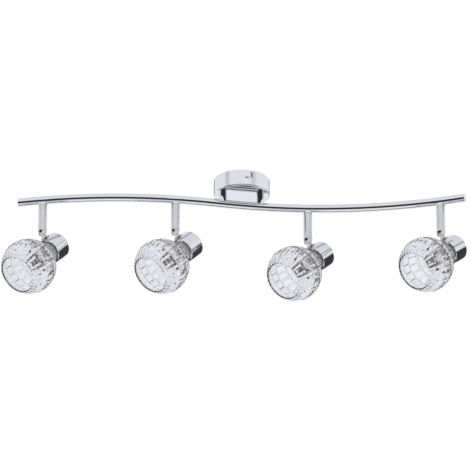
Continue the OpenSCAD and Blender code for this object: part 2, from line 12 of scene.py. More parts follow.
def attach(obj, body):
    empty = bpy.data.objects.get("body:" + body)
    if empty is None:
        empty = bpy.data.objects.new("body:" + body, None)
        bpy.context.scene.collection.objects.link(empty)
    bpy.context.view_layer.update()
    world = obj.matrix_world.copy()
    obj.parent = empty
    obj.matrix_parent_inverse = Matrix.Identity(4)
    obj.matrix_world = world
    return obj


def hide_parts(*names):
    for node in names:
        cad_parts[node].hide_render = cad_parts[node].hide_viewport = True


bl_info = {
    "name": "Ceiling Spot Bar Finish",
    "version": (1, 0, 0),
    "blender": (4, 5, 0),
    "location": "3D View > Sidebar > Spot Bar",
    "description": "Glass shades, lamps, finishes and studio for a ceiling spot bar",
    "category": "Object",
}

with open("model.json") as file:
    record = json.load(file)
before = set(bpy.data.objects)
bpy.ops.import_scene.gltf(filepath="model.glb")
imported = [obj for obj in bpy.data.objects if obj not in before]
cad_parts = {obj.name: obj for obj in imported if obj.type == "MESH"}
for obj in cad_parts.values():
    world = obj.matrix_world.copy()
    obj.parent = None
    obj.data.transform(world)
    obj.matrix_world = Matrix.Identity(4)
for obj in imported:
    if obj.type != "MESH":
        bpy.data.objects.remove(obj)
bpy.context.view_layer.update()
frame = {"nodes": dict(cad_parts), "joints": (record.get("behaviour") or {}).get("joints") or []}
JOINTS = {joint["name"]: joint for joint in frame["joints"]}
LAMPS = sorted(int(name.split("_")[1]) for name in JOINTS if name.startswith("tilt_"))


# ---- where each lamp head is ----


def head_frame(index):
    """Matrix of one lamp head: origin on its hinge line, X along the lamp, Y along the hinge."""
    tilt = JOINTS["tilt_%d" % index]
    hinge = Vector(tilt["axis"]).normalized()
    heading = Vector((hinge.y, -hinge.x, 0.0))
    below = math.radians(-tilt["range_deg"][0])
    forward = heading * math.cos(below) - Vector((0, 0, 1)) * math.sin(below)
    upward = forward.cross(hinge)
    turn = Matrix((forward, hinge, upward)).transposed().to_4x4()
    return Matrix.Translation(Vector(tilt["pos_m"])) @ turn


def reach(node, index):
    """Lowest and highest corner of a CAD node, measured in its lamp head's own directions."""
    back = head_frame(index).inverted()
    points = [back @ v.co for v in frame["nodes"][node].data.vertices]
    low = Vector([min(p[k] for p in points) for k in range(3)])
    high = Vector([max(p[k] for p in points) for k in range(3)])
    return low, high


FIRST = LAMPS[0]
GLASS_LOW, GLASS_HIGH = reach("glass_shade_%d" % FIRST, FIRST)
CUP_LOW, CUP_HIGH = reach("lamp_cup_%d" % FIRST, FIRST)
HOLDER_LOW, HOLDER_HIGH = reach("lampholder_%d" % FIRST, FIRST)
BULB_LOW, BULB_HIGH = reach("lamp_capsule_%d" % FIRST, FIRST)
RING_LOW = reach("shade_ring_%d" % FIRST, FIRST)[0]
AXIS_Z = (CUP_LOW.z + CUP_HIGH.z) / 2


def lamp_axis(index):
    """Matrix whose Z runs forward along the middle line of one lamp, from under its hinge."""
    turn = Matrix(((0, 0, 1, 0), (0, 1, 0, 0), (-1, 0, 0, AXIS_Z), (0, 0, 0, 1)))
    return head_frame(index) @ turn


# ---- sizes and colours that can be changed ----


class SpotBarGlass(bpy.types.PropertyGroup):
    columns: bpy.props.IntProperty(
        name="Columns", description="Flutes round the ball", default=30, min=12, max=48
    )
    relief: bpy.props.FloatProperty(
        name="Relief", description="Height of the cut blocks", default=0.0012, unit="LENGTH"
    )
    flute: bpy.props.FloatProperty(
        name="Flute depth", description="Depth of the long flutes", default=0.0010, unit="LENGTH"
    )
    inner_flute: bpy.props.FloatProperty(
        name="Inner flute depth",
        description="Depth of the flutes inside the ball",
        default=0.0012,
        unit="LENGTH",
    )
    wall: bpy.props.FloatProperty(
        name="Wall", description="Glass thickness at the mouth", default=0.0035, unit="LENGTH"
    )
    edge: bpy.props.FloatProperty(
        name="Edge", description="Width of the fire-polished edges", default=0.0003, unit="LENGTH"
    )
    tint: bpy.props.FloatVectorProperty(
        name="Tint",
        description="Colour of the clear glass",
        default=(0.985, 0.985, 0.995),
        size=3,
        subtype="COLOR",
    )


class SpotBarLamp(bpy.types.PropertyGroup):
    quartz_wall: bpy.props.FloatProperty(
        name="Quartz wall", description="Wall of the lamp's envelope", default=0.001, unit="LENGTH"
    )
    coil_turns: bpy.props.IntProperty(
        name="Coil turns", description="Turns of each filament leg", default=14
    )
    coil_r: bpy.props.FloatProperty(
        name="Coil radius", description="Radius of the filament coil", default=0.0006, unit="LENGTH"
    )
    wire_r: bpy.props.FloatProperty(
        name="Wire radius", description="Radius of the filament wire", default=0.00012, unit="LENGTH"
    )
    tint: bpy.props.FloatVectorProperty(
        name="Tint",
        description="Colour of the quartz",
        default=(0.97, 0.95, 0.90),
        size=3,
        subtype="COLOR",
    )


class SpotBarFinish(bpy.types.PropertyGroup):
    chrome: bpy.props.FloatVectorProperty(
        name="Chrome",
        description="Colour of the chrome plate",
        default=(0.80, 0.805, 0.83),
        size=3,
        subtype="COLOR",
    )
    nickel: bpy.props.FloatVectorProperty(
        name="Nickel",
        description="Colour of the satin tongues",
        default=(0.64, 0.62, 0.57),
        size=3,
        subtype="COLOR",
    )
    zinc: bpy.props.FloatVectorProperty(
        name="Zinc",
        description="Colour of the zinc plate",
        default=(0.60, 0.62, 0.65),
        size=3,
        subtype="COLOR",
    )
    brass: bpy.props.FloatVectorProperty(
        name="Brass",
        description="Colour of the turned brass",
        default=(0.78, 0.57, 0.26),
        size=3,
        subtype="COLOR",
    )
    polish: bpy.props.FloatProperty(
        name="Polish",
        description="Roughness of the polished chrome",
        default=0.035,
        min=0,
        max=1,
        subtype="FACTOR",
    )


class SpotBarStudio(bpy.types.PropertyGroup):
    look_up: bpy.props.FloatProperty(
        name="Look up",
        description="Angle of the view above level",
        default=math.radians(24),
        subtype="ANGLE",
    )
    distance: bpy.props.FloatProperty(
        name="Distance", description="From the ceiling point to the camera", default=6.5, unit="LENGTH"
    )
    slide: bpy.props.FloatProperty(
        name="Slide", description="Camera offset along the rail", default=-0.00965, unit="LENGTH"
    )
    sink: bpy.props.FloatProperty(
        name="Sink", description="Camera offset down its own picture", default=0.0774, unit="LENGTH"
    )
    lens: bpy.props.FloatProperty(name="Lens", description="Focal length in millimetres", default=345.5)
    floor_drop: bpy.props.FloatProperty(
        name="Floor drop", description="From the ceiling down to the floor", default=8.0, unit="LENGTH"
    )


GROUPS = {
    "spot_glass": SpotBarGlass,
    "spot_lamp": SpotBarLamp,
    "spot_finish": SpotBarFinish,
    "spot_studio": SpotBarStudio,
}


# ---- modelling helpers ----


def clear_selection():
    """Leaves object mode with nothing selected."""
    if bpy.context.object is not None and bpy.context.object.mode != "OBJECT":
        bpy.ops.object.mode_set(mode="OBJECT")
    bpy.ops.object.select_all(action="DESELECT")


def hold(obj):
    """Makes obj the only selected and the active object."""
    clear_selection()
    obj.select_set(True)
    bpy.context.view_layer.objects.active = obj


def pick(obj, kind, test):
    """In edit mode, selects the faces or vertices that pass the test and returns how many did."""
    bpy.ops.mesh.select_mode(type={"faces": "FACE", "verts": "VERT"}[kind])
    bpy.ops.mesh.select_all(action="DESELECT")
    shape = bmesh.from_edit_mesh(obj.data)
    count = 0
    for part in getattr(shape, kind):
        if test(part):
            part.select_set(True)
            count += 1
    bmesh.update_edit_mesh(obj.data)
    return count


def single_point(name, place):
    """A new object in edit mode: one selected vertex at a place."""
    clear_selection()
    bpy.ops.mesh.primitive_plane_add(size=0.001)
    obj = bpy.context.object
    obj.name = obj.data.name = name
    bpy.ops.object.mode_set(mode="EDIT")
    bpy.ops.mesh.select_all(action="SELECT")
    bpy.ops.mesh.merge(type="CENTER")
    bpy.ops.mesh.select_mode(type="VERT")
    bpy.ops.mesh.select_all(action="SELECT")
    bpy.ops.transform.translate(value=place)
    return obj


def profile_solid(name, points, steps):
    """A closed outline of (radius, height) points, extruded point by point and spun once round Z."""
    radius, height = points[0]
    obj = single_point(name, (radius, 0, height))
    for last, here in zip(points, points[1:]):
        bpy.ops.mesh.extrude_vertices_move(
            TRANSFORM_OT_translate={"value": (here[0] - last[0], 0, here[1] - last[1])}
        )
    pick(obj, "verts", lambda v: len(v.link_edges) < 2)
    bpy.ops.mesh.edge_face_add()
    bpy.ops.mesh.select_all(action="SELECT")
    bpy.ops.mesh.spin(steps=steps, angle=2 * math.pi, center=(0, 0, 0), axis=(0, 0, 1))
    bpy.ops.mesh.select_all(action="SELECT")
    bpy.ops.mesh.remove_doubles(threshold=1e-6)
    bpy.ops.mesh.select_all(action="SELECT")
    bpy.ops.mesh.normals_make_consistent(inside=False)
    return obj


def apply_modifiers(obj):
    """Applies every modifier of obj in order."""
    hold(obj)
    for modifier in list(obj.modifiers):
        bpy.ops.object.modifier_apply(modifier=modifier.name)


def settle(obj, matrix):
    """Moves obj by the matrix and bakes its place into its mesh."""
    hold(obj)
    obj.matrix_world = matrix
    bpy.ops.object.transform_apply(location=True, rotation=True, scale=True)


def copy_to_lamps(master, name, nodes=()):
    """Copies one finished piece, modelled along Z, onto every lamp head, and removes the first."""
    for index in LAMPS:
        piece = master.copy()
        piece.data = master.data.copy()
        piece.name = piece.data.name = "%s_%d" % (name, index)
        bpy.context.scene.collection.objects.link(piece)
        settle(piece, lamp_axis(index))
        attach(piece, "head_%d" % index)
        for node in nodes:
            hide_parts("%s_%d" % (node, index))
    bpy.data.objects.remove(master)


def circle_at(radius, height):
    """Radius of a ball's circle at a height above its centre."""
    return math.sqrt(max(radius * radius - height * height, 0.0))


# ---- material helpers ----


def group_node(material, group, values):
    """Places a node group in a material with its own values."""
    node = material.node_tree.nodes.new("ShaderNodeGroup")
    node.node_tree = group
    for key, value in values.items():
        node.inputs[key].default_value = value
    return node


def new_group(name, inputs, outputs):
    """An empty shader node group with named float and colour sockets."""
    tree = bpy.data.node_groups.new(name, "ShaderNodeTree")
    for label, kind, value in inputs:
        socket = tree.interface.new_socket(name=label, in_out="INPUT", socket_type="NodeSocket" + kind)
        socket.default_value = value
    for label, kind in outputs:
        tree.interface.new_socket(name=label, in_out="OUTPUT", socket_type="NodeSocket" + kind)
    return tree, tree.nodes.new("NodeGroupInput"), tree.nodes.new("NodeGroupOutput")


def texture(tree, kind, scale, **settings):
    """A texture node on object coordinates."""
    place = tree.nodes.new("ShaderNodeTexCoord")
    node = tree.nodes.new(kind)
    tree.links.new(place.outputs["Object"], node.inputs["Vector"])
    if isinstance(scale, (int, float)):
        node.inputs["Scale"].default_value = scale
    else:
        tree.links.new(scale, node.inputs["Scale"])
    for key, value in settings.items():
        node.inputs[key].default_value = value
    return node


def maths(tree, operation, first, second):
    """A maths node on two values or sockets."""
    node = tree.nodes.new("ShaderNodeMath")
    node.operation = operation
    if operation == "WRAP":
        node.inputs[2].default_value = -second
    for socket, value in zip(node.inputs, (first, second)):
        if isinstance(value, (int, float)):
            socket.default_value = value
        else:
            tree.links.new(value, socket)
    return node.outputs[0]


def spread(tree, value, low, high, start=0.0, stop=1.0, smooth=False):
    """Maps a value from start to stop onto low to high, in a straight line or smoothly."""
    node = tree.nodes.new("ShaderNodeMapRange")
    if smooth:
        node.interpolation_type = "SMOOTHSTEP"
    tree.links.new(value, node.inputs["Value"])
    for label, end in (("From Min", start), ("From Max", stop), ("To Min", low), ("To Max", high)):
        if isinstance(end, (int, float)):
            node.inputs[label].default_value = end
        else:
            tree.links.new(end, node.inputs[label])
    return node.outputs["Result"]


def mix_colour(tree, factor, first, second, blend="MIX"):
    """A colour mixed between two colours or sockets."""
    node = tree.nodes.new("ShaderNodeMix")
    node.data_type = "RGBA"
    node.blend_type = blend
    if isinstance(factor, (int, float)):
        node.inputs["Factor"].default_value = factor
    else:
        tree.links.new(factor, node.inputs["Factor"])
    for label, value in (("A", first), ("B", second)):
        socket = [s for s in node.inputs if s.name == label and s.type == "RGBA"][0]
        if isinstance(value, (tuple, list)):
            socket.default_value = value
        else:
            tree.links.new(value, socket)
    return [s for s in node.outputs if s.type == "RGBA"][0]


def colour_ramp(tree, factor, stops):
    """A ramp through (position, colour) stops, from the lowest to the highest."""
    node = tree.nodes.new("ShaderNodeValToRGB")
    tree.links.new(factor, node.inputs["Fac"])
    elements = node.color_ramp.elements
    for element, (position, colour) in zip(elements, (stops[0], stops[-1])):
        element.position = position
        element.color = rgba(colour)
    for position, colour in stops[1:-1]:
        elements.new(position).color = rgba(colour)
    return node.outputs["Color"]


def metal_surface():
    """Node group: cloudy tone, fine polishing marks and a hammered height for any metal."""
    name = "metal surface"
    if name in bpy.data.node_groups:
        return bpy.data.node_groups[name]
    tree, source, sink = new_group(
        name,
        [
            ("Tint", "Color", (0.8, 0.8, 0.8, 1)),
            ("Shade", "Color", (0.6, 0.6, 0.6, 1)),
            ("Cloud scale", "Float", 60.0),
            ("Mark scale", "Float", 900.0),
            ("Smooth", "Float", 0.03),
            ("Dull", "Float", 0.12),
        ],
        [("Color", "Color"), ("Roughness", "Float"), ("Height", "Float")],
    )
    clouds = texture(tree, "ShaderNodeTexNoise", source.outputs["Cloud scale"], Detail=4.0, Roughness=0.6)
    marks = texture(tree, "ShaderNodeTexNoise", source.outputs["Mark scale"], Detail=2.0, Distortion=1.5)
    blotch = spread(tree, clouds.outputs["Fac"], 0.0, 1.0)
    tone = mix_colour(tree, blotch, source.outputs["Tint"], source.outputs["Shade"])
    dulled = maths(tree, "MULTIPLY", blotch, marks.outputs["Fac"])
    rough = spread(tree, dulled, source.outputs["Smooth"], source.outputs["Dull"])
    tree.links.new(tone, sink.inputs["Color"])
    tree.links.new(rough, sink.inputs["Roughness"])
    tree.links.new(maths(tree, "ADD", marks.outputs["Fac"], clouds.outputs["Fac"]), sink.inputs["Height"])
    return tree


def moulded_surface():
    """Node group: faint speckle, flow marks and skin of a moulded or fired part."""
    name = "moulded surface"
    if name in bpy.data.node_groups:
        return bpy.data.node_groups[name]
    tree, source, sink = new_group(
        name,
        [
            ("Tint", "Color", (0.9, 0.9, 0.9, 1)),
            ("Fleck", "Color", (0.7, 0.68, 0.62, 1)),
            ("Fleck scale", "Float", 900.0),
            ("Gloss", "Float", 0.3),
            ("Matt", "Float", 0.5),
        ],
        [("Color", "Color"), ("Roughness", "Float"), ("Height", "Float")],
    )
    flecks = texture(tree, "ShaderNodeTexVoronoi", source.outputs["Fleck scale"])
    flow = texture(tree, "ShaderNodeTexNoise", 140.0, Detail=5.0)
    fleck_size = 0.18
    fleck_strength = 0.7
    mask = maths(tree, "LESS_THAN", flecks.outputs["Distance"], fleck_size)
    mask = maths(tree, "MULTIPLY", mask, spread(tree, flow.outputs["Fac"], 0.0, fleck_strength))
    tone = mix_colour(tree, mask, source.outputs["Tint"], source.outputs["Fleck"])
    tree.links.new(tone, sink.inputs["Color"])
    rough = spread(tree, flow.outputs["Fac"], source.outputs["Gloss"], source.outputs["Matt"])
    tree.links.new(rough, sink.inputs["Roughness"])
    tree.links.new(flow.outputs["Fac"], sink.inputs["Height"])
    return tree


def finished_material(name, group, values, bump, metallic=0.0):
    """A principled material that takes colour, roughness and bump from a surface group."""
    material = bpy.data.materials.new(name)
    material.use_nodes = True
    tree = material.node_tree
    shader = tree.nodes["Principled BSDF"]
    surface = group_node(material, group, values)
    tree.links.new(surface.outputs["Color"], shader.inputs["Base Color"])
    tree.links.new(surface.outputs["Roughness"], shader.inputs["Roughness"])
    relief = tree.nodes.new("ShaderNodeBump")
    relief.inputs["Strength"].default_value, relief.inputs["Distance"].default_value = bump
    tree.links.new(surface.outputs["Height"], relief.inputs["Height"])
    tree.links.new(relief.outputs["Normal"], shader.inputs["Normal"])
    shader.inputs["Metallic"].default_value = metallic
    return material


# strength and height of the bumps
METAL_BUMP = (0.03, 0.00005)
MOULDED_BUMP = (0.15, 0.00004)
SLEEVE_BUMP = (0.2, 0.00005)


def rgba(colour, factor=1.0):
    """A colour with alpha, darkened by a factor."""
    return tuple(channel * factor for channel in colour[:3]) + (1.0,)


def metal(name, colour, smooth, dull, clouds=60.0, marks=900.0, shade=0.93):
    """A plated or bare metal with its own tone, polish and marks."""
    values = {
        "Tint": rgba(colour),
        "Shade": rgba(colour, shade),
        "Cloud scale": clouds,
        "Mark scale": marks,
        "Smooth": smooth,
        "Dull": dull,
    }
    return finished_material(name, metal_surface(), values, METAL_BUMP, metallic=1.0)


def moulded(name, colour, fleck, gloss, matt, scale=900.0, bump=MOULDED_BUMP):
    """A moulded plastic, rubber or fired ceramic."""
    values = {
        "Tint": rgba(colour),
        "Fleck": rgba(fleck),
        "Fleck scale": scale,
        "Gloss": gloss,
        "Matt": matt,
    }
    return finished_material(name, moulded_surface(), values, bump)


def clear_glass(name, tint, rough, wave_scale, wave_height, ior):
    """Clear glass with slow pressing waves and a trace of haze."""
    material = bpy.data.materials.new(name)
    material.use_nodes = True
    tree = material.node_tree
    shader = tree.nodes["Principled BSDF"]
    shader.inputs["Metallic"].default_value = 0.0
    shader.inputs["Transmission Weight"].default_value = 1.0
    shader.inputs["IOR"].default_value = ior
    waves = texture(tree, "ShaderNodeTexNoise", wave_scale, Detail=1.0)
    haze = texture(tree, "ShaderNodeTexNoise", wave_scale * 4, Detail=3.0)
    colour = mix_colour(tree, waves.outputs["Fac"], rgba(tint), rgba(tint, 0.985))
    tree.links.new(colour, shader.inputs["Base Color"])
    tree.links.new(spread(tree, haze.outputs["Fac"], 0.0, rough), shader.inputs["Roughness"])
    relief = tree.nodes.new("ShaderNodeBump")
    relief.inputs["Strength"].default_value = 0.25
    relief.inputs["Distance"].default_value = wave_height
    tree.links.new(waves.outputs["Fac"], relief.inputs["Height"])
    tree.links.new(relief.outputs["Normal"], shader.inputs["Normal"])
    return material


def dress(nodes, material):
    """Gives CAD nodes a material in place of their plain one."""
    for name in nodes:
        obj = frame["nodes"][name]
        for slot in obj.material_slots:
            slot.material = material


def per_lamp(*stems):
    """CAD node names of every lamp for the given name stems."""
    return ["%s_%d" % (stem, index) for stem in stems for index in LAMPS]


# ---- operators ----


class SPOTBAR_OT_chrome(bpy.types.Operator):
    """Polished chrome on the canopy, posts, rail, stems, forks and lamp cups"""

    bl_idname = "spotbar.chrome"
    bl_label = "Chrome parts"

    def execute(self, context):
        finish = context.scene.spot_finish
        chrome = metal("polished chrome", finish.chrome, finish.polish, finish.polish + 0.05, shade=0.965)
        dress(
            [
                "ceiling_canopy",
                "canopy_screws",
                "canopy_posts",
                "rail_tube",
                "rail_end_caps",
                "swivel_seats",
            ]
            + per_lamp("lamp_cup"),
            chrome,
        )
        duller = [channel * 0.9 for channel in finish.chrome]
        drawn = metal("drawn chrome", duller, finish.polish, 0.16, marks=500.0, shade=0.8)
        dress(per_lamp("stem", "knuckle_fork"), drawn)
        return {"FINISHED"}


class SPOTBAR_OT_fasteners(bpy.types.Operator):
    """Zinc, brass and satin nickel on the brackets, nuts, screws and tongues; the hinge screws get zinc
    lightened as painted light
    """

    bl_idname = "spotbar.fasteners"
    bl_label = "Brackets and fasteners"

    def execute(self, context):
        finish = context.scene.spot_finish
        zinc = metal(
            "zinc plate", finish.zinc, smooth=0.22, dull=0.42, clouds=220.0, marks=1500.0, shade=0.82
        )
        brass = metal(
            "turned brass", finish.brass, smooth=0.14, dull=0.34, clouds=180.0, marks=2200.0, shade=0.85
        )
        nickel = metal(
            "satin nickel", finish.nickel, smooth=0.16, dull=0.3, clouds=260.0, marks=2600.0, shade=0.86
        )
        fixed = ["mounting_bracket", "block_screw", "post_washers"]
        dress(fixed + per_lamp("tongue_nut", "holder_bridge"), zinc)
        # painted light: the hinge screws get the zinc colour lightened 1.4 times, to lift the shade in
        # their recessed counterbores
        painted_light_colour = [channel * 1.4 for channel in finish.zinc]
        painted_light_zinc = metal(
            "bright zinc", painted_light_colour, smooth=0.3, dull=0.5, clouds=300.0, marks=1500.0, shade=0.9
        )
        dress(per_lamp("hinge_screws"), painted_light_zinc)
        dress(["terminal_screws", "earth_screw", "post_nipples", "post_nuts", "swivel_nuts"], brass)
        dress(per_lamp("knuckle_tongue"), nickel)
        return {"FINISHED"}


class SPOTBAR_OT_insulation(bpy.types.Operator):
    """Terminal block, lead sleeves, lampholders and shade rings"""

    bl_idname = "spotbar.insulation"
    bl_label = "Insulating parts"

    def execute(self, context):
        block = moulded("off-white polyamide", (0.82, 0.80, 0.72), (0.7, 0.66, 0.55), gloss=0.42, matt=0.6)
        sleeve = moulded(
            "silicone sleeve",
            (0.84, 0.84, 0.82),
            (0.78, 0.77, 0.74),
            gloss=0.5,
            matt=0.68,
            bump=SLEEVE_BUMP,
        )
        steatite = moulded(
            "glazed steatite", (0.83, 0.81, 0.76), (0.62, 0.56, 0.46), gloss=0.16, matt=0.3, scale=1400.0
        )
        ring = moulded("ring plastic", (0.80, 0.79, 0.75), (0.72, 0.7, 0.64), gloss=0.28, matt=0.4)
        dress(["terminal_block"], block)
        dress(["rail_leads"], sleeve)
        dress(per_lamp("lampholder"), steatite)
        dress(per_lamp("shade_ring"), ring)
        return {"FINISHED"}


class SPOTBAR_OT_shades(bpy.types.Operator):
    """Pressed glass balls: long flutes behind the open mouth, rings of cut blocks towards the neck"""

    bl_idname = "spotbar.shades"
    bl_label = "Glass shades"

    def execute(self, context):
        values = context.scene.spot_glass
        ball = (GLASS_HIGH.z - GLASS_LOW.z) / 2
        centre = GLASS_HIGH.x - self.mouth_ahead(ball)
        body_r = ball - values.relief
        inner_r = ball - values.wall
        cup_wall = 0.002
        holder_overlap = 0.0016
        neck_wall = 0.003
        past_rim = 0.0008
        foot_bevel = 0.0006
        neck_r = (CUP_HIGH.z - CUP_LOW.z) / 2 - cup_wall
        hole_r = (HOLDER_HIGH.y - HOLDER_LOW.y) / 2 - holder_overlap
        foot, floor, mouth = GLASS_LOW.x - centre, RING_LOW.x - centre, GLASS_HIGH.x - centre
        neck_in = neck_r - neck_wall
        rim = CUP_HIGH.x - centre + past_rim
        join = -circle_at(body_r, neck_r)
        rows = self.rows(body_r, join, mouth)
        outline = [(hole_r, foot), (neck_r - foot_bevel, foot), (neck_r, foot + foot_bevel), (neck_r, rim)]
        for low, high, kind in rows:
            heights = (low, high) if kind == "block" else self.stations(body_r, low, high, 9)
            outline += [(neck_r if h < join else circle_at(body_r, h), h) for h in heights]
        lip = 0.0008
        lip_drop = lip * 0.4
        lip_outside = 0.0004
        lip_inside = 0.0003
        outer_edge = circle_at(body_r, mouth)
        inner_edge = circle_at(inner_r, mouth)
        outline += [(outer_edge - lip_outside, mouth - lip_drop), (outer_edge - lip, mouth)]
        outline += [(inner_edge + lip, mouth), (inner_edge + lip_inside, mouth - lip_drop)]
        back = -circle_at(inner_r, neck_in)
        outline += [(circle_at(inner_r, h), h) for h in self.stations(inner_r, mouth - lip, back, 16)]
        outline += [(neck_in, floor), (hole_r, floor)]
        steps = values.columns * 2
        shade = profile_solid("cut_glass_shade", outline, steps)
        middle_r = ball - values.wall * 0.55
        neck_clear = inner_r * 0.9
        for low, high, kind in rows:
            if kind == "block":
                self.raise_blocks(shade, low, high, steps, values)
            else:
                share = 1 - values.flute / body_r
                self.cut_flutes(shade, low, high, steps, share, lambda r: r > middle_r)
        share = 1 + values.inner_flute / inner_r
        flute_end = mouth - lip - 0.001
        self.cut_flutes(shade, back, flute_end, steps, share, lambda r: neck_clear < r < middle_r)
        bpy.ops.object.mode_set(mode="OBJECT")
        hold(shade)
        bevel = shade.modifiers.new("edges", "BEVEL")
        bevel.width = values.edge
        bevel.segments = 2
        bevel.limit_method = "ANGLE"
        bevel.angle_limit = math.radians(24)
        apply_modifiers(shade)
        bpy.ops.object.shade_smooth_by_angle(angle=math.radians(20))
        glass = clear_glass(
            "pressed glass", values.tint, rough=0.02, wave_scale=70.0, wave_height=0.0003, ior=1.5
        )
        shade.data.materials.append(glass)
        settle(shade, Matrix.Translation((0, 0, centre)))
        copy_to_lamps(shade, "cut_glass_shade", ["glass_shade"])
        return {"FINISHED"}

    def mouth_ahead(self, ball):
        """Distance from the ball's centre to the mouth, from the widest ring of the CAD ball."""
        back = head_frame(FIRST).inverted()
        points = [back @ v.co for v in frame["nodes"]["glass_shade_%d" % FIRST].data.vertices]
        mouth_plane = GLASS_HIGH.x - 0.00005
        mouth_r = max(Vector((0, p.y, p.z - AXIS_Z)).length for p in points if p.x > mouth_plane)
        return circle_at(ball, mouth_r)

    def stations(self, radius, start, stop, count):
        """Heights on a ball between two heights, at equal angles."""
        first, last = math.acos(start / radius), math.acos(stop / radius)
        return [radius * math.cos(first + (last - first) * k / count) for k in range(count + 1)]

    def rows(self, body_r, join, mouth):
        """Bands of the outer face from neck to mouth: lowest height, highest height, kind of cut."""
        gap = 0.0006
        neck_band = 0.0085
        past_neck = 0.001
        to_mouth = 0.0012
        edges = [join - neck_band, join + past_neck] + [body_r * share for share in (-0.55, -0.18, 0.16)]
        bands = [(low + gap, high - gap, "block") for low, high in zip(edges, edges[1:])]
        return bands + [(edges[-1] + gap, mouth - to_mouth, "flute")]

    def raise_blocks(self, shade, low, high, steps, values):
        """Raises pillow blocks with sloped sides all round one band, every second one at a time."""
        span = 3
        shift = 2 if round(low * 1000) % 2 else 0
        column_angle = 2 * math.pi / steps
        level_face = 0.95
        least_r = 0.0155
        slope = 0.7
        for turn in (0, 1):

            def chosen(face):
                middle = face.calc_center_median()
                if middle.dot(face.normal) <= 0 or not low < middle.z < high or face.normal.z > level_face:
                    return False
                if Vector((middle.x, middle.y)).length < least_r:
                    return False
                column = int((math.atan2(middle.y, middle.x) % (2 * math.pi)) / column_angle)
                return ((column + shift) % steps) // span % 2 == turn

            pick(shade, "faces", chosen)
            bpy.ops.mesh.inset(
                thickness=values.relief * slope,
                depth=values.relief,
                use_individual=False,
                use_even_offset=True,
            )

    def cut_flutes(self, shade, low, high, steps, share, in_wall):
        """Scales every second meridian of one wall about the axis, so that ridges run along it."""
        slack_low = 0.0002
        slack_high = 0.002

        def chosen(vert):
            place = vert.co
            if not low - slack_low < place.z < high + slack_high or not in_wall(place.length):
                return False
            column = round((math.atan2(place.y, place.x) % (2 * math.pi)) / (2 * math.pi / steps))
            return column % 2 == 1

        if pick(shade, "verts", chosen) == 0:
            raise RuntimeError("the shade has no wall to flute")
        bpy.ops.transform.resize(value=(share, share, 1.0), center_override=(0, 0, 0))


